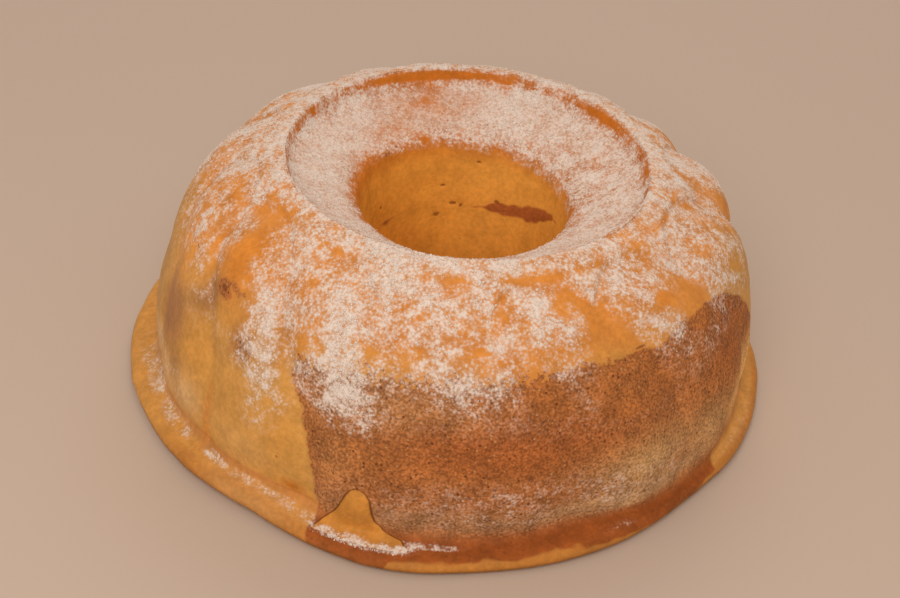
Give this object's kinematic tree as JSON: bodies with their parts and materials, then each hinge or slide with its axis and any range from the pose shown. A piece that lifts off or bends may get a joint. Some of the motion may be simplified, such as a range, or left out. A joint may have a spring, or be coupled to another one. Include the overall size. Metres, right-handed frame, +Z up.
{
  "type": "marbled bundt cake",
  "caption": "Marbled ring cake with swirled flutes, a dished top round its centre hole and a thin lip at its foot, dusted with powdered sugar.",
  "frame": {"origin": "middle of the cake's bounding box, on the surface it stands on", "axes": "+Z up through the centre hole, -Y towards the side that shows, +X to its right"},
  "size_m": [0.263, 0.2626, 0.0986],
  "materials": {
    "golden_crust": "golden to cocoa-brown baked crust, dry and matt, with a dusting of powdered sugar"
  },
  "bodies": {
    "root": {"cake": "golden_crust"}
  },
  "joints": []
}
